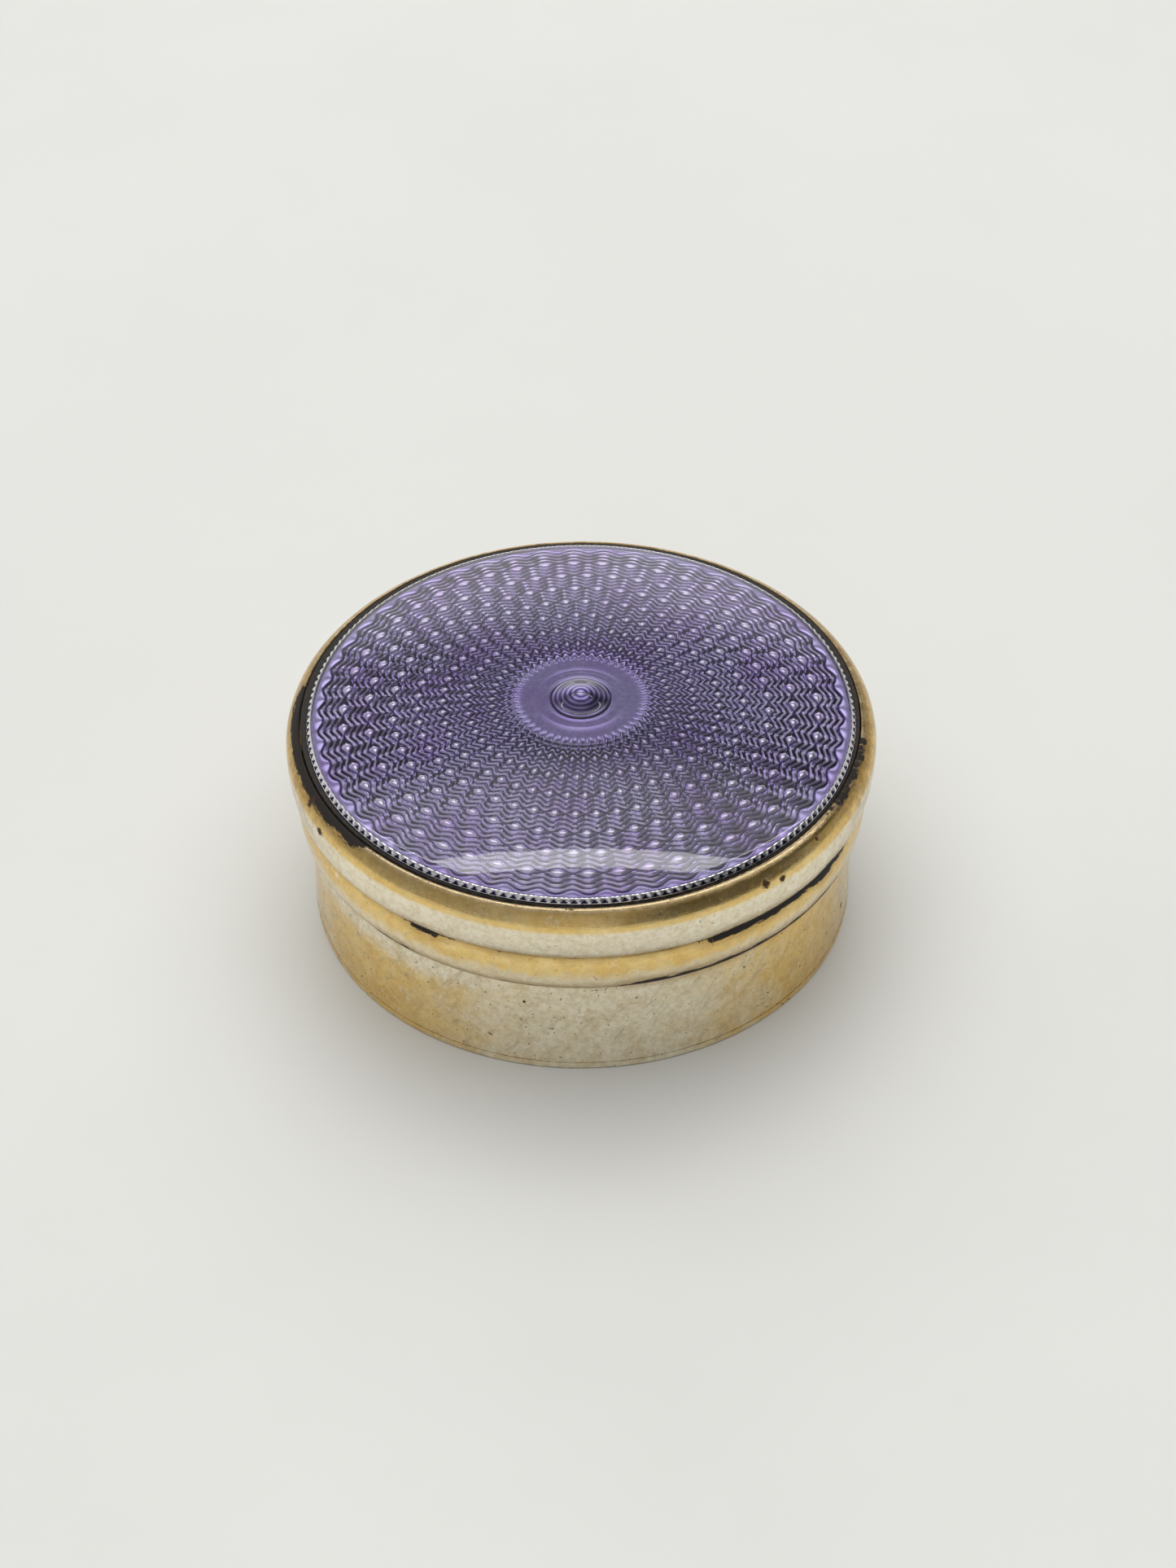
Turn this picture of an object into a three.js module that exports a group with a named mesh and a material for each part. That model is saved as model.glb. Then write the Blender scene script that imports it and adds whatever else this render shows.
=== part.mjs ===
// Round pill box, silver-gilt, with a push-on lid that holds a domed engine-turned enamel plaque.
// Millimetres, +Z up, origin at the middle of the underside. Every piece is turned about the Z axis.
import * as THREE from "three";

// Driving dimensions
const wallRadius = 17.6; // outside of the box's band
const wallThickness = 0.6;
const wallHeight = 9.95; // of the band, without its base
const baseThickness = 0.5;
const baseOverhang = 0.08; // the base's edge stands this far outside the band
const mouldingHeight = 2.85;
const mouldingFoot = 0.5; // how far the moulding's lower edge stands out from the band
const mouldingBulge = 0.85; // how far its middle stands out
const collarThickness = 0.5;
const collarRise = 1.95; // of the collar above the band
const collarDepth = 3.4; // of the collar below the top of the band
const skirtThickness = 0.5;
const ledgeReach = 1.8; // how far the plaque's ledge reaches in from the skirt
const ledgeThickness = 0.42;
const liningThickness = 0.45;
const plaqueSeat = 0.05; // how far the plaque reaches out over the rim's ledge
const plaqueRise = 1.5; // of the dome, edge to middle, without the boss
const plateThickness = 0.5;
const plateBorder = 0.2; // bare metal edge of the plate, outside the enamel
const enamelThickness = 0.4;
const counterThickness = 0.3;
const counterInset = 0.12; // between the counter-enamel and the plate's foot
const bossRadius = 1.9;
const bossHeight = 0.5;
const cementWidth = 0.42; // of the gap between plaque and rim
const cementSink = 0.32; // the cement lies this far below the plaque's edge
const rimWidth = 0.95; // of the lid's rim, from its inner edge to its widest line
const shoulderReach = 1.5; // half the width of the ellipse that the rim's shoulder follows
const shoulderHeight = 1.45; // half its height
const rimTaper = 0.42; // the rim draws in by this much from its widest line to its lower edge
const lipDrop = 0.26; // the rim's inner edge lies this far below the plaque's edge
const footRounding = 0.12; // of the rim's lower edge

// Clearances
const solderGap = 0.03; // between pieces that are soldered, fused or cemented together
const slidingFit = 0.05; // between the lid's skirt and the collar
const lidRest = 0.04; // between the lid's lower edge and the band
const headroom = 0.25; // between the top of the collar and the lining

// Fineness
const turns = 60; // sides of every turned piece
const curveSteps = 4; // along the rounding of an edge and the lower curve of the rim
const shoulderSteps = 7;
const mouldingSteps = 6;
const bossSteps = 2;
const domeSteps = 4;

const quarter = Math.PI / 2;

// Levels and radii that follow
const wallFoot = baseThickness + solderGap;
const wallTop = wallFoot + wallHeight;
const wallBore = wallRadius - wallThickness;
const collarRadius = wallBore - solderGap;
const collarTop = wallTop + collarRise;
const skirtBore = collarRadius + slidingFit;
const skirtRadius = skirtBore + skirtThickness;
const lidFoot = wallTop + lidRest;
const liningFoot = collarTop + headroom;
const ledgeFoot = liningFoot + liningThickness + solderGap;
const ledgeTop = ledgeFoot + ledgeThickness;
const ledgeBore = skirtRadius - ledgeReach;
const plateFoot = ledgeTop + solderGap;
const plateFace = plateFoot + plateThickness; // level of the engraved face, less the dome
const plaqueEdge = plateFace + enamelThickness;
const rimBore = skirtRadius + solderGap;
const plaqueRadius = rimBore + plaqueSeat;
const settingRadius = plaqueRadius + cementWidth;
const lidRadius = settingRadius + rimWidth;
const lipTop = plaqueEdge - lipDrop;
const lipTurn = Math.acos((shoulderReach - rimWidth) / shoulderReach); // where the shoulder meets the lip
const widest = lipTop - shoulderHeight * Math.sin(lipTurn);

function point(radius, height) {
  return new THREE.Vector2(radius, height);
}

// Points along an arc of an ellipse in the (radius, height) plane, both ends included.
function arc(radius, height, halfWidth, halfHeight, from, to, steps) {
  const curve = new THREE.EllipseCurve(radius, height, halfWidth, halfHeight, from, to, to < from);
  return curve.getPoints(steps);
}

// Turns an outline, taken anticlockwise with the radius to the right, about the Z axis.
function turned(name, outline, finish) {
  const geometry = new THREE.LatheGeometry(outline, turns);
  geometry.rotateX(quarter);
  const mesh = new THREE.Mesh(geometry, finish);
  mesh.name = name;
  return mesh;
}

// A ring's outline closes on itself.
function ring(name, outline, finish) {
  return turned(name, [...outline, outline[0].clone()], finish);
}

// Height of the plaque's face above its edge: a shallow dome with a low round boss.
function domeAt(radius) {
  const dome = plaqueRise * (1 - (radius / plaqueRadius) ** 2);
  const swell = radius < bossRadius ? bossHeight * Math.cos((radius / bossRadius) * quarter) : 0;
  return dome + swell;
}

// The dome from the axis out to a radius, at a level, with closer points on the boss.
function domeLine(level, outerRadius) {
  const line = [];
  for (let i = 0; i <= bossSteps; i++) {
    line.push((bossRadius * i) / bossSteps);
  }
  for (let i = 1; i <= domeSteps; i++) {
    line.push(bossRadius + ((outerRadius - bossRadius) * i) / domeSteps);
  }
  return line.map((radius) => point(radius, level + domeAt(radius)));
}

function metal(colour, roughness) {
  return new THREE.MeshStandardMaterial({ color: colour, roughness, metalness: 1 });
}

const gilt = metal(0xc9ae72, 0.28);
const paleGilt = metal(0xd6c79a, 0.3);
const engravedSilver = metal(0x9a90b8, 0.3);
const lilacGlass = new THREE.MeshStandardMaterial({
  color: 0x6d61a0,
  roughness: 0.08,
  metalness: 0,
  transparent: true,
  opacity: 0.5,
});
const backGlass = new THREE.MeshStandardMaterial({ color: 0x3d3a55, roughness: 0.2, metalness: 0 });
const darkCement = new THREE.MeshStandardMaterial({ color: 0x1c1510, roughness: 0.8, metalness: 0 });

function boxBase() {
  const edge = wallRadius + baseOverhang;
  const softening = baseThickness / 3;
  const outline = [
    point(0, 0),
    point(edge - softening, 0),
    ...arc(edge - softening, softening, softening, softening, -quarter, 0, curveSteps).slice(1),
    point(edge, baseThickness),
    point(0, baseThickness),
  ];
  return turned("box_base", outline, gilt);
}

function boxWall() {
  const outline = [
    point(wallBore, wallFoot),
    point(wallRadius, wallFoot),
    point(wallRadius, wallTop),
    point(wallBore, wallTop),
  ];
  return ring("box_wall", outline, paleGilt);
}

function rimMoulding() {
  const inside = wallRadius + solderGap;
  const middle = wallTop - mouldingHeight / 2;
  const foot = wallTop - mouldingHeight;
  const bulge = mouldingBulge - mouldingFoot;
  const outline = [
    point(inside, foot),
    ...arc(wallRadius + mouldingFoot, middle, bulge, mouldingHeight / 2, -quarter, quarter, mouldingSteps),
    point(inside, wallTop),
  ];
  return ring("rim_moulding", outline, gilt);
}

function boxCollar() {
  const bore = collarRadius - collarThickness;
  const softening = collarThickness / 2;
  const outline = [
    point(bore, wallTop - collarDepth),
    point(collarRadius, wallTop - collarDepth),
    ...arc(bore + softening, collarTop - softening, softening, softening, 0, 2 * quarter, curveSteps),
  ];
  return ring("box_collar", outline, gilt);
}

function lidSkirt() {
  const outline = [
    point(skirtBore, lidFoot),
    point(skirtRadius, lidFoot),
    point(skirtRadius, ledgeTop),
    point(ledgeBore, ledgeTop),
    point(ledgeBore, ledgeFoot),
    point(skirtBore, ledgeFoot),
  ];
  return ring("lid_skirt", outline, gilt);
}

function lidRim() {
  const foot = lidRadius - rimTaper;
  const middle = lidRadius - shoulderReach;
  const outline = [
    point(rimBore, lidFoot),
    point(foot - footRounding, lidFoot),
    point(foot, lidFoot + footRounding),
    ...arc(foot, widest, rimTaper, widest - lidFoot - footRounding, -quarter, 0, curveSteps).slice(1),
    ...arc(middle, widest, shoulderReach, shoulderHeight, 0, lipTurn, shoulderSteps).slice(1),
    point(settingRadius, ledgeTop),
    point(rimBore, ledgeTop),
  ];
  return ring("lid_rim", outline, gilt);
}

function lidLining() {
  const edge = skirtBore - solderGap;
  const outline = [
    point(0, liningFoot),
    point(edge, liningFoot),
    point(edge, liningFoot + liningThickness),
    point(0, liningFoot + liningThickness),
  ];
  return turned("lid_lining", outline, gilt);
}

// The plate stands on a flat foot. Its domed face is recessed by the enamel's thickness, inside a bare
// edge that comes up level with the enamel.
function enamelPlate() {
  const recess = plaqueRadius - plateBorder;
  const back = domeLine(plateFoot, ledgeBore);
  const face = domeLine(plateFace, recess);
  const outline = [
    ...back,
    point(ledgeBore, plateFoot),
    point(plaqueRadius, plateFoot),
    point(plaqueRadius, plaqueEdge),
    point(recess, plaqueEdge),
    ...face.reverse(),
  ];
  return turned("enamel_plate", outline, engravedSilver);
}

function enamelCoat() {
  const edge = plaqueRadius - plateBorder - solderGap;
  const back = domeLine(plateFace + solderGap, edge);
  const face = domeLine(plaqueEdge, edge);
  return turned("enamel_coat", [...back, ...face.reverse()], lilacGlass);
}

function counterEnamel() {
  const edge = ledgeBore - counterInset;
  const top = plateFoot - solderGap;
  const face = domeLine(top, edge);
  const back = domeLine(top - counterThickness, edge);
  return turned("counter_enamel", [...back, ...face.reverse()], backGlass);
}

function settingCement() {
  const inside = plaqueRadius + solderGap;
  const outside = settingRadius - solderGap;
  const outline = [
    point(inside, ledgeTop + solderGap),
    point(outside, ledgeTop + solderGap),
    point(outside, plaqueEdge - cementSink),
    point(inside, plaqueEdge - cementSink),
  ];
  return ring("setting_cement", outline, darkCement);
}

const box = new THREE.Group();
box.add(boxBase(), boxWall(), rimMoulding(), boxCollar());

const lid = new THREE.Group();
lid.add(lidRim(), lidSkirt(), lidLining());
lid.add(enamelPlate(), enamelCoat(), counterEnamel(), settingCement());

const pillBox = new THREE.Group();
pillBox.add(box, lid);

export default pillBox;
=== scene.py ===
import math
import bpy
import numpy as np
from mathutils import Matrix, Vector


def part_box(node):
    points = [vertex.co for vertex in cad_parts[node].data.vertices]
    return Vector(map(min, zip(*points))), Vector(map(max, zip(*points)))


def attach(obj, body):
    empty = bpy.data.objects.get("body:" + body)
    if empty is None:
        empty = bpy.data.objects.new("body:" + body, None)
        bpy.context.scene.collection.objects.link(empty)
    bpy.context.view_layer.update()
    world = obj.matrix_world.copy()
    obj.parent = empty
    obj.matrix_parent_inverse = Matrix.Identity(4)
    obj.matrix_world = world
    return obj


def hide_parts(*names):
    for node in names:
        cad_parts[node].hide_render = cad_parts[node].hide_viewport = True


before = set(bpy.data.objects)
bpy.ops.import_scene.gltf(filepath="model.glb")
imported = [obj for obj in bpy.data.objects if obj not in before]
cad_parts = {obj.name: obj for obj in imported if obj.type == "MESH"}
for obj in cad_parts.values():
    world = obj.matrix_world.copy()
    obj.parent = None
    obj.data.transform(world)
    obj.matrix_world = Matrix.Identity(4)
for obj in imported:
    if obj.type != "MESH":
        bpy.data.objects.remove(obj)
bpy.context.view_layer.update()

mm = 0.001
quarter = math.pi / 2


# outside radius, foot and top of a turned piece
def levels(node):
    low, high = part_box(node)
    return high.x, low.z, high.z


baseRadius, baseFoot, baseTop = levels("box_base")
wallRadius, wallFoot, wallTop = levels("box_wall")
mouldRadius, mouldFoot, mouldTop = levels("rim_moulding")
collarRadius, collarFoot, collarTop = levels("box_collar")
lidRadius, lidFoot, lipTop = levels("lid_rim")
skirtRadius, skirtFoot, ledgeTop = levels("lid_skirt")
liningRadius, liningFoot, liningTop = levels("lid_lining")
plateRadius, plateFoot, _ = levels("enamel_plate")
coatTop = levels("enamel_coat")[2]
backRadius = levels("counter_enamel")[0]
cementRadius, cementFoot, cementTop = levels("setting_cement")

fit = {
    "solder": 0.03 * mm,      # gap between pieces that are soldered or fused together
    "inside": 0.012 * mm,     # every outside face keeps this far inside its solid
}
dome = {"rise": 1.5 * mm, "bossRadius": 1.9 * mm, "bossHeight": 0.5 * mm,
        "bossFall": 1.6}     # above 1 the boss falls away more gently towards its edge
plaqueEdge = coatTop - dome["rise"] - dome["bossHeight"]
enamelDepth = 0.4 * mm
plateFace = plaqueEdge - enamelDepth


def domeAt(radius):      # height of the plaque's face above its edge
    height = dome["rise"] * (1 - (radius / plateRadius) ** 2)
    if radius < dome["bossRadius"]:
        swell = math.cos(radius / dome["bossRadius"] * quarter)
        height += dome["bossHeight"] * swell ** dome["bossFall"]
    return height


# a circle is pulled up and in or out, ring by ring, as on a lathe
def startRing(name, sides, radius, height):
    bpy.ops.object.select_all(action="DESELECT")
    bpy.ops.mesh.primitive_circle_add(vertices=sides, radius=radius, location=(0, 0, height))
    piece = bpy.context.object
    piece.name = name
    piece.data.name = name
    bpy.ops.object.transform_apply(location=True, rotation=False, scale=False)
    bpy.ops.object.mode_set(mode="EDIT")
    bpy.ops.mesh.select_all(action="SELECT")
    return piece


def pullRings(outline):
    for (wasRadius, wasHeight), (radius, height) in zip(outline, outline[1:]):
        bpy.ops.mesh.extrude_region_move(TRANSFORM_OT_translate={"value": (0, 0, height - wasHeight)})
        if radius == 0:
            bpy.ops.mesh.merge(type="CENTER")
        elif radius != wasRadius:
            grow = radius / wasRadius
            bpy.ops.transform.resize(value=(grow, grow, 1), center_override=(0, 0, height))


def cleanUp():
    bpy.ops.mesh.select_all(action="SELECT")
    bpy.ops.mesh.remove_doubles(threshold=0.0005 * mm)
    bpy.ops.mesh.normals_make_consistent(inside=False)
    bpy.ops.object.mode_set(mode="OBJECT")


def turnRing(name, outline, sides):     # closed outline: a ring with a hole through it
    piece = startRing(name, sides, *outline[0])
    pullRings(outline + outline[:1])
    cleanUp()
    return piece


def turnDisc(name, top, under, sides):   # both lines start at the edge and end on the axis
    piece = startRing(name, sides, *top[0])
    pullRings(top)
    bpy.ops.mesh.select_all(action="DESELECT")
    bpy.ops.mesh.select_non_manifold()
    pullRings(under)
    cleanUp()
    return piece


def applyModifier(piece, kind, **settings):
    bpy.ops.object.select_all(action="DESELECT")
    piece.select_set(True)
    bpy.context.view_layer.objects.active = piece
    modifier = piece.modifiers.new(kind.lower(), kind)
    for key, value in settings.items():
        setattr(modifier, key, value)
    bpy.ops.object.modifier_apply(modifier=modifier.name)


def softenEdges(piece, width, angle=35):
    applyModifier(piece, "BEVEL", width=width, segments=3, limit_method="ANGLE",
                  angle_limit=math.radians(angle), use_clamp_overlap=True)


def makeUneven(piece, depth, grain):     # hand-worked metal is never quite true
    texture = bpy.data.textures.new(piece.name + "Uneven", "CLOUDS")
    texture.noise_scale = grain
    applyModifier(piece, "DISPLACE", texture=texture, strength=depth, mid_level=0.5,
                  texture_coords="LOCAL", direction="NORMAL")


def smooth(piece, angle=40):
    bpy.ops.object.select_all(action="DESELECT")
    piece.select_set(True)
    bpy.context.view_layer.objects.active = piece
    bpy.ops.object.shade_smooth_by_angle(angle=math.radians(angle))


def arc(radius, height, halfWidth, halfHeight, start, end, steps):
    turns = [start + (end - start) * i / steps for i in range(steps + 1)]
    return [(radius + halfWidth * math.cos(t), height + halfHeight * math.sin(t)) for t in turns]


def straight(start, end, steps):
    return [(start[0] + (end[0] - start[0]) * i / steps, start[1] + (end[1] - start[1]) * i / steps)
            for i in range(steps + 1)]


def handOver(piece, body, node, material):
    piece.data.materials.clear()
    piece.data.materials.append(material)
    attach(piece, body)
    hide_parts(node)
    print("made", piece.name)


def newMaterial(name):
    material = bpy.data.materials.new(name)
    material.use_nodes = True
    tree = material.node_tree
    return material, tree, tree.nodes["Principled BSDF"]


def addNode(tree, kind, inputs=None, **settings):
    made = tree.nodes.new(kind)
    for key, value in settings.items():
        setattr(made, key, value)
    for key, value in (inputs or {}).items():
        if isinstance(value, bpy.types.NodeSocket):
            tree.links.new(value, made.inputs[key])
        else:
            made.inputs[key].default_value = value
    return made


def place(tree):     # object coordinates in millimetres
    where = addNode(tree, "ShaderNodeTexCoord")
    return addNode(tree, "ShaderNodeMapping", {"Vector": where.outputs["Object"],
                                               "Scale": (1 / mm, 1 / mm, 1 / mm)}).outputs[0]


def maths(tree, operation, a, b=0.0, c=0.0):
    return addNode(tree, "ShaderNodeMath", {0: a, 1: b, 2: c}, operation=operation).outputs[0]


def ramp(tree, value, low, high, toLow=0.0, toHigh=1.0):    # a soft step between two values
    return addNode(tree, "ShaderNodeMapRange",
                   {"Value": value, "From Min": low, "From Max": high, "To Min": toLow, "To Max": toHigh},
                   interpolation_type="SMOOTHSTEP").outputs[0]


def blendColour(tree, share, first, second, mode="MIX"):
    mix = addNode(tree, "ShaderNodeMix", {0: share, 6: first, 7: second}, data_type="RGBA", blend_type=mode)
    return mix.outputs[2]


def noise(tree, where, scale, detail=3.0, rough=0.55, stretch=None):
    if stretch:
        where = addNode(tree, "ShaderNodeMapping", {"Vector": where, "Scale": stretch}).outputs[0]
    return addNode(tree, "ShaderNodeTexNoise", {"Vector": where, "Scale": scale, "Detail": detail,
                                                "Roughness": rough}).outputs["Fac"]


def length(tree, a, b):
    squares = maths(tree, "ADD", maths(tree, "MULTIPLY", a, a), maths(tree, "MULTIPLY", b, b))
    return maths(tree, "SQRT", squares)


def roundAxis(tree, where):     # degrees round from the front, radius and height of a point
    x, y, z = addNode(tree, "ShaderNodeSeparateXYZ", {0: where}).outputs
    turn = maths(tree, "DEGREES", maths(tree, "ARCTAN2", x, maths(tree, "MULTIPLY", y, -1.0)))
    return turn, length(tree, x, y), z


def window(tree, value, low, high, soft):     # 1 between low and high, with soft ends
    rising = ramp(tree, value, low - soft, low + soft)
    falling = ramp(tree, value, high + soft, high - soft)
    return maths(tree, "MULTIPLY", rising, falling)


def wander(tree, value, wave, amount):     # a value pushed to and fro by noise
    return maths(tree, "MULTIPLY_ADD", maths(tree, "SUBTRACT", wave, 0.5), amount, value)


def most(tree, *shares):
    top = shares[0]
    for share in shares[1:]:
        top = maths(tree, "MAXIMUM", top, share)
    return top


gilt = {
    "gold": (0.95, 0.73, 0.34, 1),
    "deepGold": (0.90, 0.63, 0.22, 1),
    "pale": (0.97, 0.90, 0.72, 1),      # rubbed down towards the silver, and also laid on as painted reflection and painted highlight
    "grey": (0.42, 0.38, 0.30, 1),       # rubbing marks
    "patina": (0.82, 0.78, 0.72, 1),     # these three darken what is under them
    "grime": (0.50, 0.43, 0.36, 1),
    "cloud": (0.88, 0.84, 0.76, 1),
    "speck": (0.16, 0.11, 0.06, 1),
    "haloAndShade": (0.38, 0.23, 0.07, 1),       # brown round the tarnish, and painted shade along each seam
    "tarnishAndShade": (0.022, 0.016, 0.012, 1),
    "pit": (0.07, 0.03, 0.012, 1),
    "grimeFrom": 48, "grimeTo": 72,      # grime comes in round the sides, in degrees from the front
    "markLean": 0.95,
    "roughness": 0.2,
    "bump": 0.05 * mm,
    "rubbedRadius": 14.0, "brightRadius": 16.8,     # marks and strokes fade inwards between these, in mm
    "haloReach": 0.7,
}


# the function given for the pale share reads turn and height: worn gilding, with painted reflection and
# painted highlight; a seam is its height, the usual spread of its dark line (tarnish and painted shade) and
# places (from, to, spread); a spot is its turn, height and size
def giltMetal(name, wearAndSheen=None, seams=(), marks=0.5, brushed=0.4, spots=(), grimy=0.0):
    material, tree, shader = newMaterial(name)
    where = place(tree)
    turn, radius, height = roundAxis(tree, where)
    along = maths(tree, "MULTIPLY", turn, math.radians(1) * wallRadius / mm)
    flat = addNode(tree, "ShaderNodeCombineXYZ", {0: along, 1: height}).outputs[0]     # surface laid out flat
    blotch = noise(tree, where, 0.42, 4.0, 0.6)
    mottled = noise(tree, where, 1.3, 5.0, 0.68)
    fine = noise(tree, where, 6.0, 3.0, 0.7)
    tone = maths(tree, "ADD", maths(tree, "MULTIPLY", blotch, 0.6), maths(tree, "MULTIPLY", mottled, 0.4))
    colour = blendColour(tree, ramp(tree, tone, 0.38, 0.62), gilt["gold"], gilt["deepGold"])
    bare = maths(tree, "ADD", blotch, maths(tree, "MULTIPLY", mottled, 0.5))
    wornAndLit = ramp(tree, bare, 0.86, 1.0, 0.0, 0.6)
    # the given places are paler: worn gilding in part, and painted reflection and painted highlight
    if wearAndSheen:
        roaming = wander(tree, turn, blotch, 50.0), wander(tree, height, mottled, 2.0), height
        wornAndLit = most(tree, wornAndLit, wearAndSheen(tree, *roaming))
    wornAndLit = maths(tree, "MULTIPLY", wornAndLit, ramp(tree, mottled, 0.2, 0.6, 0.82, 1.0))
    colour = blendColour(tree, wornAndLit, colour, gilt["pale"])
    patina = noise(tree, where, 2.6, 6.0, 0.75)
    colour = blendColour(tree, ramp(tree, patina, 0.62, 0.34, 0.0, 0.9), colour, gilt["patina"], "MULTIPLY")
    side = ramp(tree, maths(tree, "ABSOLUTE", turn), gilt["grimeFrom"], gilt["grimeTo"])
    patchy = ramp(tree, mottled, 0.66, 0.36, 0.25, 1.0)
    grime = maths(tree, "MULTIPLY", maths(tree, "MULTIPLY", side, grimy), patchy)
    colour = blendColour(tree, grime, colour, gilt["grime"], "MULTIPLY")
    # grey rubbing marks that lean to one side, and small dark specks
    outwards = ramp(tree, radius, gilt["rubbedRadius"], gilt["brightRadius"])
    leaning = addNode(tree, "ShaderNodeMapping", {"Vector": flat, "Rotation": (0, 0, gilt["markLean"]),
                                                  "Scale": (2.2, 0.6, 1.0)}, vector_type="TEXTURE")
    smear = ramp(tree, noise(tree, leaning.outputs[0], 0.9, 6.0, 0.75), 0.52, 0.72, 0.0, marks * 0.7)
    smear = maths(tree, "MULTIPLY", smear, outwards)
    colour = blendColour(tree, smear, colour, gilt["grey"])
    cloud = ramp(tree, noise(tree, where, 0.8, 5.0, 0.7), 0.56, 0.36, 0.0, marks)
    colour = blendColour(tree, cloud, colour, gilt["cloud"], "MULTIPLY")
    speck = ramp(tree, noise(tree, where, 3.4, 2.0, 0.5), 0.68, 0.74, 0.0, marks)
    colour = blendColour(tree, speck, colour, gilt["speck"])
    dark = speck
    # each seam gets a dark line in patches and a brown band fading out from it: tarnish, and painted shade
    # where the parts meet
    for seamHeight, usual, places in seams:
        spread = maths(tree, "MULTIPLY", ramp(tree, noise(tree, flat, 0.35, 4.0, 0.6), 0.35, 0.65), usual)
        for start, end, wide in places:
            within = window(tree, wander(tree, turn, mottled, 12.0), start, end, 4)
            spread = most(tree, spread, maths(tree, "MULTIPLY", within, wide))
        flecks = noise(tree, flat, 1.7, 6.0, 0.78, stretch=(0.4, 2.0, 1.0))
        ragged = wander(tree, spread, flecks, 0.95)
        away = maths(tree, "ABSOLUTE", maths(tree, "SUBTRACT", height, seamHeight))
        inside = maths(tree, "SUBTRACT", ragged, away)
        mark = ramp(tree, inside, -0.04, 0.05)
        dark = most(tree, dark, mark)
        haloAndShade = ramp(tree, inside, -gilt["haloReach"], 0.0, 0.0, 0.55)
        colour = blendColour(tree, haloAndShade, colour, gilt["haloAndShade"])
        colour = blendColour(tree, mark, colour, gilt["tarnishAndShade"])
    for spotTurn, spotHeight, size in spots:
        gapAlong = maths(tree, "MULTIPLY", maths(tree, "SUBTRACT", turn, spotTurn), 0.32)     # mm to a degree
        gapUp = maths(tree, "SUBTRACT", height, spotHeight)
        reach = length(tree, gapAlong, gapUp)
        spot = ramp(tree, wander(tree, reach, fine, size * 2.2), size * 1.1, size * 0.6)
        colour = blendColour(tree, spot, colour, gilt["pit"])
        dark = most(tree, dark, spot)
    tree.links.new(colour, shader.inputs["Base Color"])
    metallic = maths(tree, "SUBTRACT", 1.0, maths(tree, "MULTIPLY", dark, 0.75))
    tree.links.new(metallic, shader.inputs["Metallic"])
    rough = ramp(tree, mottled, 0.3, 0.7, gilt["roughness"] - 0.05, gilt["roughness"] + 0.1)
    rough = most(tree, rough, maths(tree, "MULTIPLY", dark, 0.7), maths(tree, "MULTIPLY", smear, 0.8))
    tree.links.new(rough, shader.inputs["Roughness"])
    strokes = noise(tree, flat, 1.0, 3.0, 0.6, stretch=(0.6, 9.0, 1.0))
    strokes = maths(tree, "MULTIPLY", strokes, maths(tree, "MULTIPLY", outwards, brushed))
    relief = maths(tree, "ADD", strokes, maths(tree, "MULTIPLY", fine, 0.25))
    relief = maths(tree, "SUBTRACT", relief, maths(tree, "MULTIPLY", dark, 0.8))
    bump = addNode(tree, "ShaderNodeBump", {"Strength": 0.25, "Distance": gilt["bump"], "Height": relief})
    tree.links.new(bump.outputs[0], shader.inputs["Normal"])
    return material


boxStyle = {"sides": 360, "wallThickness": 0.6 * mm, "collarThickness": 0.5 * mm,
            "mouldBulge": 0.35 * mm, "edge": 0.04 * mm,
            "baseDrawIn": 0.08 * mm, "baseRounding": 0.16 * mm, "baseClose": 0.024 * mm}

# paler across the front, up the left front and round the sides: worn gilding in part, and across the front a
# painted reflection of the pale table
def wallWearAndReflection(tree, turn, height, level):
    front = window(tree, turn, -26, 33, 17)
    shoulder = maths(tree, "MULTIPLY", window(tree, turn, -75, -14, 14), ramp(tree, height, 4.6, 6.2))
    sides = ramp(tree, maths(tree, "ABSOLUTE", turn), 66, 84, 0.0, 0.65)
    return most(tree, front, shoulder, sides)


# paler on the lower half of the moulding: a painted highlight where the bead turns down towards the pale
# table
def mouldHighlight(tree, turn, height, level):
    return maths(tree, "MULTIPLY", ramp(tree, height, mouldTop / mm - 1.2, mouldTop / mm - 2.0), 0.75)


# paler on the upright lower band, most at the front, and along the lip: a painted reflection of the pale
# table, and a painted highlight on the lip
def rimPaintedLight(tree, turn, height, level):
    band = ramp(tree, level, rimStyle["goldFrom"] + 0.2, rimStyle["goldFrom"] - 0.15)
    front = window(tree, turn, -78, 85, 10)
    lip = ramp(tree, level, lipTop / mm - 0.22, lipTop / mm - 0.1, 0.0, 0.7)
    return most(tree, maths(tree, "MULTIPLY", band, ramp(tree, front, 0, 1, 0.35, 1.0)), lip)


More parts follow.
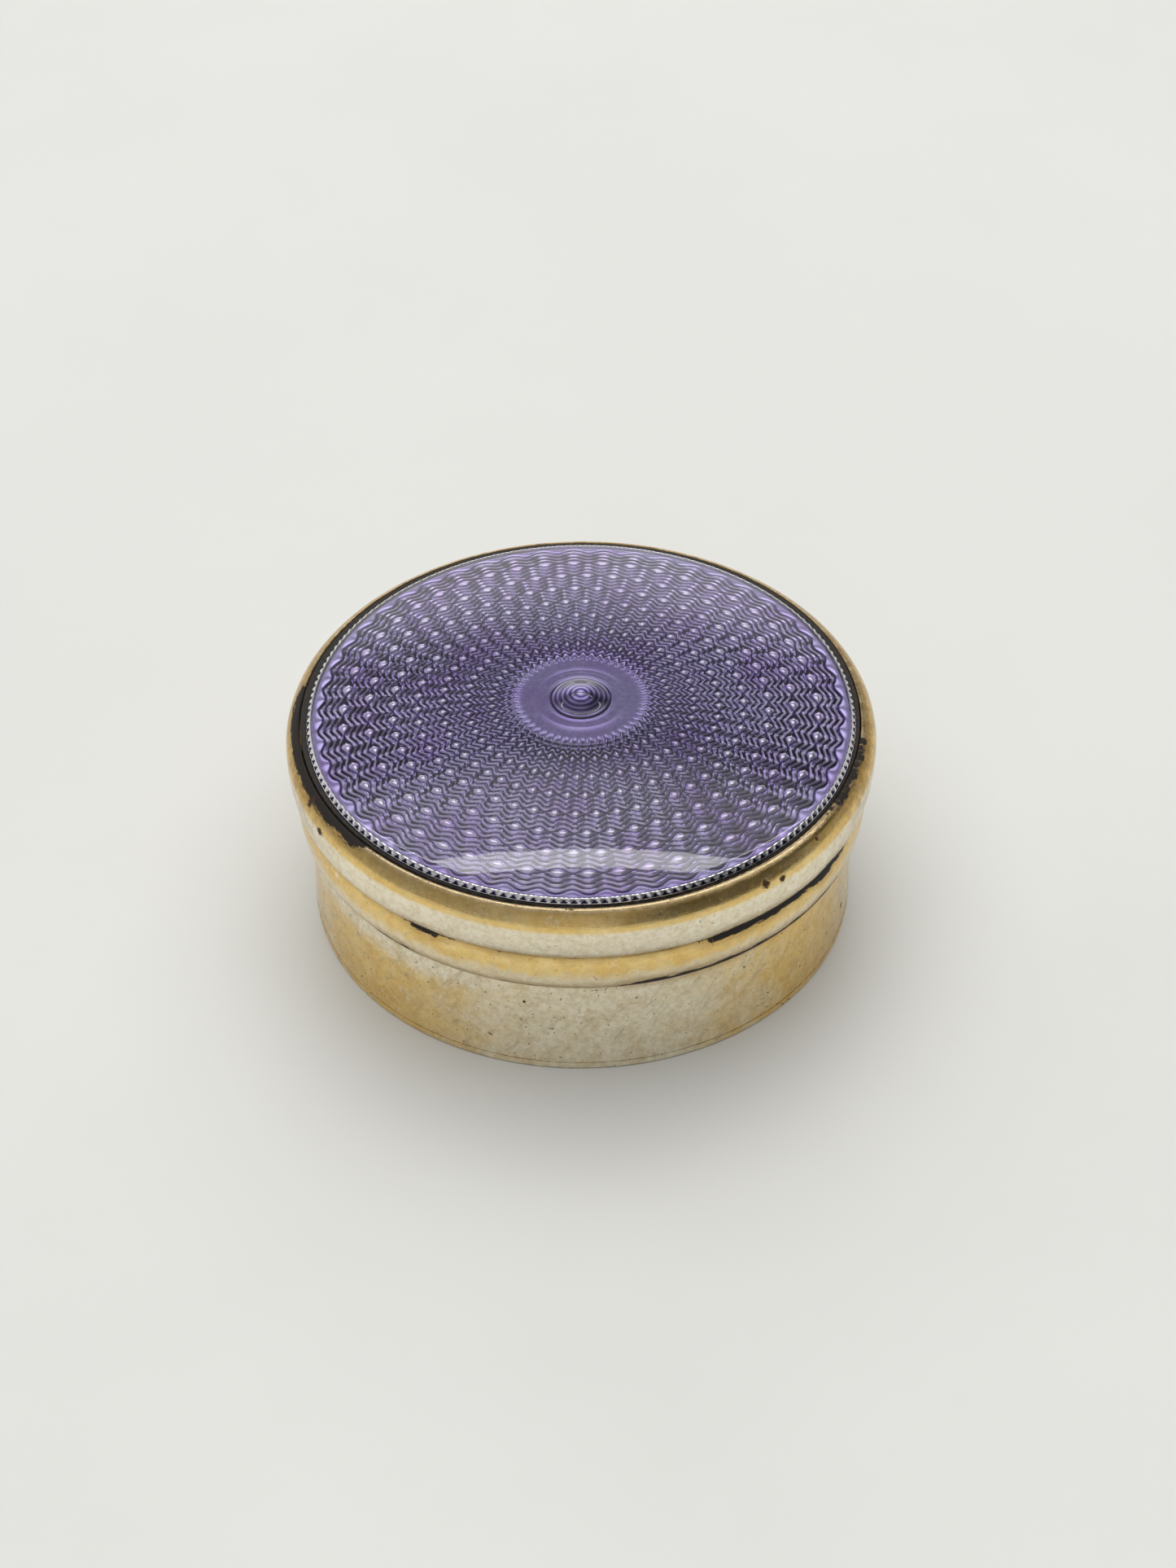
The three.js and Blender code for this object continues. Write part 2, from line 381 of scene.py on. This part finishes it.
rimStyle = {"goldFrom": 12.95}     # below this height the lid's upright lower band is painted pale, a painted reflection of the pale table
insideGilt = giltMetal("insideGilt", marks=0.12)
wallGilt = giltMetal("wallGilt", wallWearAndReflection, marks=0.9, grimy=0.25, spots=[(73, 2.4, 0.22), (-12, 5.6, 0.12)],
                     seams=[(mouldFoot / mm, 0.1, [(8, 64, 0.48), (-46, -34, 0.35)])])
mouldGilt = giltMetal("mouldGilt", mouldHighlight, marks=0.45, grimy=0.5,
                      seams=[(mouldTop / mm, 0.14, [(-37, -28, 0.5), (24, 67, 0.6), (50, 62, 0.85)]),
                             (mouldFoot / mm, 0.1, [(8, 64, 0.44), (-46, -34, 0.3)])])
rimGilt = giltMetal("rimGilt", rimPaintedLight, marks=0.4, brushed=0.9, grimy=0.9,
                    spots=[(-60, 13.0, 0.34), (37, 13.5, 0.34), (41, 13.2, 0.26), (52, 13.9, 0.16),
                           (-66, 13.8, 0.3)],
                    seams=[(lidFoot / mm, 0.1, [(-37, -28, 0.35), (26, 66, 0.48), (52, 62, 0.7)]),
                           (lipTop / mm, 0.0, [(-100, -48, 0.42), (60, 84, 0.2)])])


def makeBase():
    edge = baseRadius - boxStyle["baseDrawIn"]
    rounding, face = boxStyle["baseRounding"], baseTop + boxStyle["baseClose"]
    top = [(edge, face), (edge * 0.6, face), (edge * 0.2, face), (0, face)]
    under = [(edge, face), (edge, (face + rounding) / 2)]
    under += arc(edge - rounding, baseFoot + rounding, rounding, rounding, 0, -quarter, 5)
    under += [(edge * 0.6, baseFoot), (edge * 0.2, baseFoot), (0, baseFoot)]
    piece = turnDisc("boxBase", top, under, boxStyle["sides"])
    smooth(piece, 40)
    handOver(piece, "box", "box_base", wallGilt)


def makeWall():
    outside = wallRadius - fit["inside"]
    bore = wallRadius - boxStyle["wallThickness"]
    outline = [(bore, wallFoot)] + straight((outside, wallFoot), (outside, wallTop), 14)
    outline += straight((bore, wallTop), (bore, wallFoot), 6)[:-1]
    piece = turnRing("boxWall", outline, boxStyle["sides"])
    softenEdges(piece, boxStyle["edge"])
    makeUneven(piece, 0.02 * mm, 3.2 * mm)
    smooth(piece)
    handOver(piece, "box", "box_wall", wallGilt)


def makeMoulding():
    bulge = boxStyle["mouldBulge"]
    inside = wallRadius + fit["solder"]
    middle = (mouldFoot + mouldTop) / 2
    outline = [(inside, mouldFoot)]
    outline += arc(mouldRadius - fit["inside"] - bulge, middle, bulge, (mouldTop - mouldFoot) / 2,
                   -quarter, quarter, 22)
    outline += [(inside, mouldTop)]
    piece = turnRing("rimMoulding", outline, boxStyle["sides"])
    softenEdges(piece, 0.05 * mm, 50)
    makeUneven(piece, 0.02 * mm, 4 * mm)
    smooth(piece, 50)
    handOver(piece, "box", "rim_moulding", mouldGilt)


def makeCollar():
    thick = boxStyle["collarThickness"]
    bore = collarRadius - thick
    outline = straight((bore, collarFoot), (collarRadius, collarFoot), 1)
    outline += arc(bore + thick / 2, collarTop - thick / 2, thick / 2, thick / 2, 0, math.pi, 10)
    piece = turnRing("boxCollar", outline, boxStyle["sides"])
    smooth(piece, 50)
    handOver(piece, "box", "box_collar", insideGilt)


lidStyle = {"sides": 540, "rimWidth": 0.95 * mm, "shoulderReach": 1.5 * mm, "shoulderHeight": 1.45 * mm,
            "lipRounding": 0.11 * mm, "lipBlend": 0.16, "taper": 0.42 * mm, "footRounding": 0.12 * mm,
            "burnish": 0.36 * mm, "burnishTurn": 20, "burnishSpread": 1.5, "burnishFade": 0.3 * mm,
            "skirtThickness": 0.5 * mm, "ledgeReach": 1.8 * mm, "ledgeThickness": 0.42 * mm}


def limited(share):
    return min(1, max(0, share))


def lipInset(x, y):     # the lip is burnished in over the plaque, most at the front
    turn = math.degrees(math.atan2(x, -y))
    off = min(180, abs(turn - lidStyle["burnishTurn"]) * lidStyle["burnishSpread"])
    return lidStyle["burnish"] * (0.5 + 0.5 * math.cos(math.radians(off)))


def makeRim():
    outside = lidRadius - fit["inside"]
    top = lipTop - fit["inside"]
    middle = outside - lidStyle["shoulderReach"]
    lipTurn = math.acos((lidStyle["shoulderReach"] - lidStyle["rimWidth"]) / lidStyle["shoulderReach"])
    widest = top - lidStyle["shoulderHeight"] * math.sin(lipTurn)
    foot = outside - lidStyle["taper"]
    rounding = lidStyle["footRounding"]
    bore = skirtRadius + fit["solder"]
    lip = lidStyle["lipRounding"]
    turnIn = lipTurn - lidStyle["lipBlend"]     # the shoulder's curve passes into the lip's rounding here
    meet = (middle + lidStyle["shoulderReach"] * math.cos(turnIn),
            widest + lidStyle["shoulderHeight"] * math.sin(turnIn))
    lipMiddle = (meet[0] - lip * math.cos(turnIn), meet[1] - lip * math.sin(turnIn))
    outline = [(bore, lidFoot)]
    outline += arc(foot - rounding, lidFoot + rounding, rounding, rounding, -quarter, 0, 4)
    outline += arc(foot, widest, lidStyle["taper"], widest - lidFoot - rounding, -quarter * 0.9, 0, 14)[:-1]
    outline += arc(middle, widest, lidStyle["shoulderReach"], lidStyle["shoulderHeight"], 0, turnIn, 22)[:-1]
    outline += arc(*lipMiddle, lip, lip, turnIn, math.pi, 8)
    outline += [(lipMiddle[0] - lip, ledgeTop), (bore, ledgeTop)]
    piece = turnRing("lidRim", outline, lidStyle["sides"])
    makeUneven(piece, 0.02 * mm, 3 * mm)
    fade = lidStyle["burnishFade"]
    for corner in piece.data.vertices:
        x, y, z = corner.co
        radius = math.hypot(x, y)
        share = limited((meet[0] + fade / 2 - radius) / fade) * limited((z - ledgeTop) / fade)
        grow = 1 - lipInset(x, y) * share / radius
        corner.co = (x * grow, y * grow, z)
    smooth(piece, 55)
    handOver(piece, "lid", "lid_rim", rimGilt)


def makeSkirt():
    bore = skirtRadius - lidStyle["skirtThickness"]
    ledgeBore = skirtRadius - lidStyle["ledgeReach"]
    ledgeFoot = ledgeTop - lidStyle["ledgeThickness"]
    outline = [(bore, skirtFoot), (skirtRadius, skirtFoot), (skirtRadius, ledgeTop), (ledgeBore, ledgeTop),
               (ledgeBore, ledgeFoot), (bore, ledgeFoot)]
    piece = turnRing("lidSkirt", outline, boxStyle["sides"])
    softenEdges(piece, 0.1 * mm)
    smooth(piece)
    handOver(piece, "lid", "lid_skirt", insideGilt)


def makeLining():
    top = [(liningRadius, liningTop), (liningRadius * 0.5, liningTop), (0, liningTop)]
    under = [(liningRadius, liningTop), (liningRadius, liningFoot), (liningRadius * 0.5, liningFoot),
             (0, liningFoot)]
    piece = turnDisc("lidLining", top, under, boxStyle["sides"])
    softenEdges(piece, 0.1 * mm)
    smooth(piece)
    handOver(piece, "lid", "lid_lining", insideGilt)


def makeCement():
    inside = plateRadius + fit["solder"]
    outline = [(inside, cementFoot), (cementRadius, cementFoot)]
    outline += straight((cementRadius, cementTop), (inside, cementTop), 4)
    piece = turnRing("settingCement", outline, lidStyle["sides"])
    makeUneven(piece, 0.05 * mm, 0.5 * mm)
    for corner in piece.data.vertices:
        x, y, z = corner.co
        radius = math.hypot(x, y)
        reach = (radius - inside) / (cementRadius - inside) * (z - cementFoot) / (cementTop - cementFoot)
        grow = 1 - lipInset(x, y) * max(0, reach) / radius
        corner.co = (x * grow, y * grow, z)
    smooth(piece, 60)
    handOver(piece, "lid", "setting_cement", cementPaste())


cementStyle = {"colour": (0.006, 0.005, 0.006, 1), "crumbs": (0.05, 0.035, 0.022, 1), "bump": 0.6}


def cementPaste():
    material, tree, shader = newMaterial("cementPaste")
    where = place(tree)
    grain = noise(tree, where, 3.0, 5.0, 0.7)
    crumbs = ramp(tree, grain, 0.4, 0.7)
    colour = blendColour(tree, crumbs, cementStyle["colour"], cementStyle["crumbs"])
    tree.links.new(colour, shader.inputs["Base Color"])
    tree.links.new(ramp(tree, grain, 0.3, 0.7, 0.45, 0.85), shader.inputs["Roughness"])
    bump = addNode(tree, "ShaderNodeBump",
                   {"Strength": cementStyle["bump"], "Distance": 0.0001, "Height": grain})
    tree.links.new(bump.outputs[0], shader.inputs["Normal"])
    return material


turning = {
    "waves": 50,               # round the plate
    "columnsPerWave": 14,
    "lines": 32,
    "fadingLines": 3,          # the innermost cuts run out over this many lines
    "linesPerBrick": 4,        # after these the next lines are turned by half a wave
    "outerLine": 16.61 * mm,
    "pitch": 0.398 * mm,
    "swing": 0.165 * mm,
    "cutDepth": 0.048 * mm,
    "cutSlope": 0.30,          # of a cut's two sides
    "crown": 0.02 * mm,        # metal left between two cuts swells by this much
    "swell": 0.02 * mm,        # height of the metal in the middle of an eye
    "eyeTurn": math.radians(-88.4),     # one column of eyes lies here
    "notchDepth": 0.12 * mm,
    "edgeWidth": 0.3 * mm,
    "plainZone": 3.85 * mm,
    "centreColumns": 100,
    "bossRings": 12,
    "ringDepth": 0.022 * mm,
    "plainShade": 0.62,        # uncut metal is toned like the middle of a cut's side
}


def linePath(number, angles):
    half = (number // turning["linesPerBrick"]) % 2
    wave = np.cos(turning["waves"] * (angles - turning["eyeTurn"]) + math.pi * half)
    return turning["outerLine"] - turning["pitch"] * number + turning["swing"] * wave


# the metal left between the lines stands highest in the middle of each eye
def swellAt(radius, angles):
    brick = turning["pitch"] * turning["linesPerBrick"]
    row = (turning["outerLine"] + turning["pitch"] / 2 - radius) / brick
    fade = np.clip((turning["outerLine"] + 0.2 * mm - radius) / (0.3 * mm), 0, 1)
    fade = fade * np.clip((radius - turning["plainZone"]) / (0.6 * mm), 0, 1)
    wave = np.cos(turning["waves"] * (angles - turning["eyeTurn"]))
    return -turning["swell"] * wave * np.cos(math.pi * row) * fade


# rings of the engraved face from the edge inwards: radius, drop below the dome, how deep in a cut
def faceRows(angles):
    flat = np.zeros_like(angles)
    recess = plateRadius - turning["edgeWidth"]
    rows = []
    rows.append((flat + recess - 0.01 * mm, flat, flat + turning["plainShade"]))
    rows.append((flat + recess - 0.2 * mm, flat, flat + turning["plainShade"]))
    fullDepth, slope, crown = turning["cutDepth"], turning["cutSlope"], turning["crown"]
    last = turning["lines"] - 1
    plain = turning["plainShade"]
    for number in range(turning["lines"]):
        path = linePath(number, angles)
        fade = min(1, (turning["lines"] - number) / turning["fadingLines"])
        depth = fullDepth * fade
        bottom = plain + (1 - plain) * fade
        phase = turning["waves"] * (angles - turning["eyeTurn"])
        slant = turning["swing"] * turning["waves"] / path * np.sin(phase)
        square = 1 / np.sqrt(1 + slant ** 2)       # a slanting cut is narrower across than along the radius
        if number == 0:
            rows.append((path + depth / slope, flat, flat + plain))
        rows.append((path, flat + depth, flat + bottom))
        if number < last:
            gap = path - linePath(number + 1, angles)
            reach = np.minimum(depth / slope / square, 0.42 * gap)
            drop = depth - reach * square * slope
            middle = np.maximum(0, depth - gap / 2 * square * slope)
            swell = crown * np.clip((gap / 2 - reach) / (0.1 * mm), 0, 1)
            share = drop / depth * fade + plain * (1 - fade)
            rows.append((path - reach, drop, share))
            rows.append((path - gap / 2, middle - swell, middle / depth * 0.9 * fade + plain * (1 - fade)))
            rows.append((path - gap + reach, drop, share))
        else:
            rows.append((path - depth / slope, flat, flat + plain))
    rows.append((flat + turning["plainZone"], flat, flat + plain))
    return rows


def addRing(points, cuts, radii, heights, cut):
    columns = len(radii)
    angles = np.arange(columns) * 2 * math.pi / columns
    start = len(points)
    for i in range(columns):
        points.append((radii[i] * math.cos(angles[i]), radii[i] * math.sin(angles[i]), heights[i]))
        cuts.append(float(cut[i]))
    return list(range(start, start + columns))


def joinRings(faces, outer, inner):     # the outer ring has a whole number of columns to each inner one
    share = len(outer) // len(inner)
    for i in range(len(inner)):
        edge = [outer[(i * share + k) % len(outer)] for k in range(share + 1)]
        faces.append(edge + [inner[(i + 1) % len(inner)], inner[i]])


def makePlate():
    columns = turning["waves"] * turning["columnsPerWave"]
    angles = np.arange(columns) * 2 * math.pi / columns
    flat = np.zeros(columns)
    few = np.zeros(turning["centreColumns"])
    points, cuts, faces = [], [], []
    recess = plateRadius - turning["edgeWidth"]
    # under the plate: from the middle of its domed back out to the flat foot
    ledgeBore = skirtRadius - lidStyle["ledgeReach"]
    backRings = []
    for share in (0.08, 0.2, 0.4, 0.6, 0.8, 0.95):
        radius = ledgeBore * share
        backRings.append(addRing(points, cuts, few + radius, few + plateFoot + domeAt(radius), few))
    backRings.append(addRing(points, cuts, few + ledgeBore, few + plateFoot + domeAt(ledgeBore), few))
    backRings.append(addRing(points, cuts, few + ledgeBore, few + plateFoot, few))
    # four columns to a notch in the bare edge, wide outside and pointed inwards
    step = np.arange(columns) % 4
    wide = (step != 0).astype(float)
    half = np.where(step == 2, 1.0, np.where(step == 0, 0.0, 0.5))
    tip = (step == 2).astype(float)
    notch, edgeTop = turning["notchDepth"], flat + plaqueEdge - 0.005 * mm
    foot = addRing(points, cuts, flat + plateRadius - 0.05 * mm, flat + plateFoot, flat)
    rings = [foot,
             addRing(points, cuts, flat + plateRadius, flat + plateFoot + 0.05 * mm, flat),
             addRing(points, cuts, flat + plateRadius, edgeTop - 0.27 * mm, flat)]
    # the bare edge rounds over outwards, and the notches are cut into the rounding
    rounding = [(0.04, 0.17, 0.5 * wide, wide), (0.10, 0.08, half, half),
                (0.17, 0.02, half, 0.9 * half), (0.24, 0.0, 0.2 * tip, 0.3 * tip)]
    for inwards, down, notched, cut in rounding:
        rings.append(addRing(points, cuts, flat + plateRadius - inwards * mm,
                             edgeTop - down * mm - notch * notched, cut))
    rings.append(addRing(points, cuts, flat + recess + 0.01 * mm, edgeTop, flat))
    rings.append(addRing(points, cuts, flat + recess, flat + plaqueEdge - 0.03 * mm, flat))
    shape = np.vectorize(domeAt)
    for radii, drop, cut in faceRows(angles):
        heights = plateFace + shape(radii) - drop + swellAt(radii, angles)
        rings.append(addRing(points, cuts, radii, heights, cut))
    for outer, inner in zip(rings, rings[1:]):
        joinRings(faces, outer, inner)
    # plain zone and boss, with fewer columns
    centre = [turning["plainZone"] * k for k in (0.93, 0.84, 0.75, 0.67, 0.6)]
    centre += [dome["bossRadius"] * k for k in (1.12, 1.05)]
    count = turning["bossRings"]
    centre += [dome["bossRadius"] * (count - k) / count for k in range(count)]
    previous = rings[-1]
    for order, radius in enumerate(centre):
        # alternate rings on the boss are sunk and coloured darker like the cuts, partly painted shade
        onBoss = radius <= dome["bossRadius"] and order % 2
        drop = turning["ringDepth"] if onBoss or order in (1, 4) else 0.0
        ring = addRing(points, cuts, few + radius, few + plateFace + domeAt(radius) - drop,
                       few + turning["plainShade"] + (0.3 if onBoss else 0.0))
        joinRings(faces, previous, ring)
        previous = ring
    points.append((0, 0, plateFace + domeAt(0)))
    cuts.append(0.0)
    top = len(points) - 1
    for i, corner in enumerate(previous):
        faces.append([corner, previous[(i + 1) % len(previous)], top])
    # back faces
    for outer, inner in zip(backRings[::-1], backRings[-2::-1]):
        joinRings(faces, outer, inner)
    joinRings(faces, foot, backRings[-1])
    points.append((0, 0, plateFoot + domeAt(0)))
    cuts.append(0.0)
    under = len(points) - 1
    for i, corner in enumerate(backRings[0]):
        faces.append([corner, backRings[0][(i + 1) % len(few)], under])
    mesh = bpy.data.meshes.new("enginePlate")
    mesh.from_pydata(points, [], faces)
    mesh.attributes.new("cut", "FLOAT", "POINT").data.foreach_set("value", np.array(cuts, np.float32))
    piece = bpy.data.objects.new("enginePlate", mesh)
    bpy.context.scene.collection.objects.link(piece)
    bpy.ops.object.select_all(action="DESELECT")
    piece.select_set(True)
    bpy.context.view_layer.objects.active = piece
    bpy.ops.object.mode_set(mode="EDIT")
    bpy.ops.mesh.select_all(action="SELECT")
    bpy.ops.mesh.normals_make_consistent(inside=False)
    bpy.ops.object.mode_set(mode="OBJECT")
    smooth(piece, 20)
    handOver(piece, "lid", "enamel_plate", engravedMetal())


# the engraved metal is coloured by how deep a point lies in a cut, palest on the metal left between cuts and
# darkest at a cut's bottom: partly the deeper enamel in the cuts, partly painted highlight and painted shade
engraved = {
    "ridge": (0.94, 0.93, 0.96, 1),      # uncut metal
    "side": (0.68, 0.64, 0.87, 1),
    "cut": (0.07, 0.05, 0.17, 1),
    "edge": (0.86, 0.85, 0.84, 1),
    "shadeUnderLip": (0.05, 0.045, 0.045, 1),     # painted shade on the plate's outer side, down below the lip
    "notch": (0.02, 0.018, 0.04, 1),
    "violet": (0.80, 0.60, 0.92, 1),     # these two tone what is under them
    "centre": (0.62, 0.62, 0.66, 1),
    "centreFrom": 5.2, "centreTo": 4.5,  # radius in mm where the middle's tone comes in
}


def engravedMetal():
    material, tree, shader = newMaterial("engravedMetal")
    where = place(tree)
    turn, radius, height = roundAxis(tree, where)
    cut = addNode(tree, "ShaderNodeAttribute", attribute_name="cut", attribute_type="GEOMETRY").outputs["Fac"]
    grain = noise(tree, where, 4.0, 4.0, 0.6)
    tone = noise(tree, where, 0.3, 3.0, 0.6)
    # colour by depth in the cut: deeper enamel, with painted highlight between the cuts and painted shade in
    # them
    colour = blendColour(tree, ramp(tree, cut, 0.0, 0.4), engraved["ridge"], engraved["side"])
    violet = ramp(tree, tone, 0.4, 0.66, 0.0, 0.5)
    colour = blendColour(tree, violet, colour, engraved["violet"], "MULTIPLY")
    colour = blendColour(tree, ramp(tree, cut, 0.54, 0.92), colour, engraved["cut"])
    centre = ramp(tree, radius, engraved["centreFrom"], engraved["centreTo"], 0.0, 0.8)
    colour = blendColour(tree, centre, colour, engraved["centre"], "MULTIPLY")
    edge = (plateRadius - turning["edgeWidth"]) / mm
    notchRing = ramp(tree, radius, edge, edge + 0.02)
    pale = maths(tree, "MULTIPLY", notchRing, ramp(tree, cut, 0.7, 0.3))
    colour = blendColour(tree, pale, colour, engraved["edge"])
    notch = maths(tree, "MULTIPLY", notchRing, ramp(tree, cut, 0.45, 0.8))
    colour = blendColour(tree, notch, colour, engraved["notch"])
    # the plate's outer side below the lip is painted dark: painted shade in the crevice
    underLip = maths(tree, "MULTIPLY", ramp(tree, radius, plateRadius / mm - 0.03, plateRadius / mm - 0.01),
                ramp(tree, wander(tree, height, grain, 0.2), lipTop / mm, lipTop / mm - 0.06))
    colour = blendColour(tree, underLip, colour, engraved["shadeUnderLip"])
    tree.links.new(colour, shader.inputs["Base Color"])
    shader.inputs["Metallic"].default_value = 1.0
    tree.links.new(ramp(tree, grain, 0.3, 0.7, 0.10, 0.16), shader.inputs["Roughness"])
    return material


enamelStyle = {
    "sides": 240, "rings": 30, "bossRings": 14,
    "colour": (0.78, 0.735, 0.955, 1), "cloud": (0.81, 0.74, 0.95, 1),
    "sink": 0.12 * mm,         # the glass reaches this far into the plate's cuts, so no air is left in them
}


def domeLine(level, edge, rings):
    inner = dome["bossRadius"]
    radii = [edge + (inner - edge) * i / rings for i in range(rings + 1)]
    count = enamelStyle["bossRings"]
    radii += [inner * (1 - i / count) for i in range(1, count + 1)]
    return [(max(r, 0), level + domeAt(r)) for r in radii]


def lilacEnamel():
    material, tree, shader = newMaterial("lilacEnamel")
    where = place(tree)
    tone = noise(tree, where, 0.3, 3.0, 0.6)
    colour = blendColour(tree, ramp(tree, tone, 0.35, 0.65), enamelStyle["colour"], enamelStyle["cloud"])
    tree.links.new(colour, shader.inputs["Base Color"])
    shader.inputs["Transmission Weight"].default_value = 1.0
    shader.inputs["IOR"].default_value = 1.5
    wear = noise(tree, where, 2.0, 5.0, 0.7)
    tree.links.new(ramp(tree, wear, 0.55, 0.8, 0.02, 0.1), shader.inputs["Roughness"])
    return material


def makeCoat():
    edge = plateRadius - turning["edgeWidth"] - 0.01 * mm
    face = domeLine(plaqueEdge - fit["inside"], edge, enamelStyle["rings"])
    back = domeLine(plateFace - enamelStyle["sink"], edge, enamelStyle["rings"])
    piece = turnDisc("enamelCoat", face, [face[0]] + back, enamelStyle["sides"])
    softenEdges(piece, 0.05 * mm, 60)
    smooth(piece, 50)
    handOver(piece, "lid", "enamel_coat", lilacEnamel())


counterStyle = {"sides": 120, "rings": 12, "thickness": 0.3 * mm,
                "colour": (0.03, 0.03, 0.06, 1), "cloud": (0.07, 0.06, 0.11, 1)}


def makeCounter():
    level = plateFoot - fit["solder"]
    face = domeLine(level, backRadius, counterStyle["rings"])
    back = domeLine(level - counterStyle["thickness"], backRadius, counterStyle["rings"])
    piece = turnDisc("counterEnamel", face, [face[0]] + back, counterStyle["sides"])
    smooth(piece, 50)
    material, tree, shader = newMaterial("backEnamel")
    grain = noise(tree, place(tree), 1.5, 4.0, 0.6)
    clouded = ramp(tree, grain, 0.35, 0.65)
    colour = blendColour(tree, clouded, counterStyle["colour"], counterStyle["cloud"])
    tree.links.new(colour, shader.inputs["Base Color"])
    shader.inputs["Roughness"].default_value = 0.15
    handOver(piece, "lid", "counter_enamel", material)


makeBase()
makeWall()
makeMoulding()
makeCollar()
makeRim()
makeSkirt()
makeLining()
makeCement()
makePlate()
makeCoat()
makeCounter()


studio = {
    "floor": (0.795, 0.80, 0.765, 1), "floorMarks": (0.77, 0.77, 0.74, 1), "floorSize": 3.0,
    "topWatts": 12.9,
    # what the metal and the glass see: towards the viewer, behind the box, at the left and at the right
    "room": (0.50, 0.49, 0.47, 1), "behind": (0.34, 0.34, 0.35, 1),
    "side": (0.34, 0.34, 0.35, 1), "farSide": (0.12, 0.12, 0.12, 1),
    "sweep": (1.6, 1.6, 1.56, 1),        # the backdrop low down behind the box
    "glow": 0.9, "glowFrom": 48, "glowTo": 67, "glowEdge": 4,     # its rise in degrees
    "glowWidth": 50, "glowCore": 15,
    "lampRise": 59.2, "lampAway": 1.2, "lampWidth": 1.15, "lampDepth": 0.04, "lampWatts": 0.75,
}


def makeFloor():
    bpy.ops.object.select_all(action="DESELECT")
    bpy.ops.mesh.primitive_plane_add(size=studio["floorSize"], location=(0, 0, -0.01 * mm))
    floor = bpy.context.object
    floor.name = "floor"
    bpy.ops.object.transform_apply(location=True, rotation=False, scale=False)
    material, tree, shader = newMaterial("paleTable")
    where = place(tree)
    grain = noise(tree, where, 0.02, 4.0, 0.6)
    colour = blendColour(tree, ramp(tree, grain, 0.3, 0.7), studio["floor"], studio["floorMarks"])
    tree.links.new(colour, shader.inputs["Base Color"])
    shader.inputs["Roughness"].default_value = 0.6
    floor.data.materials.append(material)


def addLight(name, position, target, width, depth, watts):
    light = bpy.data.lights.new(name, "AREA")
    light.shape = "RECTANGLE"
    light.size = width
    light.size_y = depth
    light.energy = watts
    lamp = bpy.data.objects.new(name, light)
    bpy.context.scene.collection.objects.link(lamp)
    lamp.location = position
    lamp.rotation_mode = "QUATERNION"
    lamp.rotation_quaternion = (Vector(target) - Vector(position)).to_track_quat("-Z", "Y")
    return lamp


def makeLights():
    softTop = addLight("softTop", (0, 0.25, 1.05), (0, 0, 0), 1.8, 1.8, studio["topWatts"])
    softTop.visible_glossy = False
    softTop.visible_transmission = False
    rise, away = math.radians(studio["lampRise"]), studio["lampAway"]
    strip = addLight("strip", (0, away * math.cos(rise), away * math.sin(rise)), (0, 0, 0.015),
                     studio["lampWidth"], studio["lampDepth"], studio["lampWatts"])
    strip.visible_transmission = False
    strip.visible_diffuse = False
    world = bpy.data.worlds.new("softRoom")
    bpy.context.scene.world = world
    world.use_nodes = True
    tree = world.node_tree
    direction = addNode(tree, "ShaderNodeTexCoord").outputs["Generated"]
    x, y, z = addNode(tree, "ShaderNodeSeparateXYZ", {0: direction}).outputs
    behind = ramp(tree, y, -0.3, 0.45)
    room = blendColour(tree, behind, studio["room"], studio["behind"])
    side = ramp(tree, maths(tree, "ABSOLUTE", maths(tree, "ADD", x, 0.06)), 0.10, 0.48)
    walls = blendColour(tree, ramp(tree, x, -0.2, 0.2), studio["side"], studio["farSide"])
    room = blendColour(tree, side, room, walls)
    middle = maths(tree, "MULTIPLY", behind, ramp(tree, side, 0, 1, 1.0, 0.3))
    low = maths(tree, "MULTIPLY", ramp(tree, z, 0.58, 0.40), middle)
    room = blendColour(tree, low, room, studio["sweep"])
    # a long soft lamp high behind the box
    rise = maths(tree, "ARCSINE", z)
    across = maths(tree, "ABSOLUTE", maths(tree, "ARCTAN2", x, y))
    lit = window(tree, rise, math.radians(studio["glowFrom"]), math.radians(studio["glowTo"]),
                 math.radians(studio["glowEdge"]))
    aside = ramp(tree, across, math.radians(studio["glowWidth"]), math.radians(studio["glowCore"]))
    glow = maths(tree, "MULTIPLY", lit, aside)
    room = blendColour(tree, maths(tree, "MULTIPLY", glow, studio["glow"]), room, studio["sweep"])
    tree.links.new(room, tree.nodes["Background"].inputs["Color"])
    tree.nodes["Background"].inputs["Strength"].default_value = 1.0
    world.cycles.sampling_method = "MANUAL"
    world.cycles.sample_map_resolution = 1024
    bpy.context.scene.view_settings.view_transform = "Standard"


# the view: from the front, looking down at the lid, with the box a little below the middle
eye = {"elevation": 41.51, "distance": 281.6 * mm, "aside": 0.42 * mm, "up": 6.34 * mm,
       "roll": -0.37, "lens": 97.5}


def makeCamera():
    tilt, roll = math.radians(eye["elevation"]), math.radians(eye["roll"])
    right = Vector((1, 0, 0))
    up = Vector((0, math.sin(tilt), math.cos(tilt)))
    back = Vector((0, -math.cos(tilt), math.sin(tilt)))
    spot = back * eye["distance"] + right * eye["aside"] + up * eye["up"]
    rolledRight = right * math.cos(roll) + up * math.sin(roll)
    rolledUp = up * math.cos(roll) - right * math.sin(roll)
    lens = bpy.data.cameras.new("camera")
    lens.lens = eye["lens"]
    lens.sensor_width = 36
    camera = bpy.data.objects.new("camera", lens)
    bpy.context.scene.collection.objects.link(camera)
    turn = Matrix((rolledRight, rolledUp, back)).transposed()
    camera.rotation_mode = "QUATERNION"
    camera.rotation_quaternion = turn.to_quaternion()
    camera.location = spot
    bpy.context.scene.camera = camera


makeFloor()
makeLights()
makeCamera()
print("scene ready")
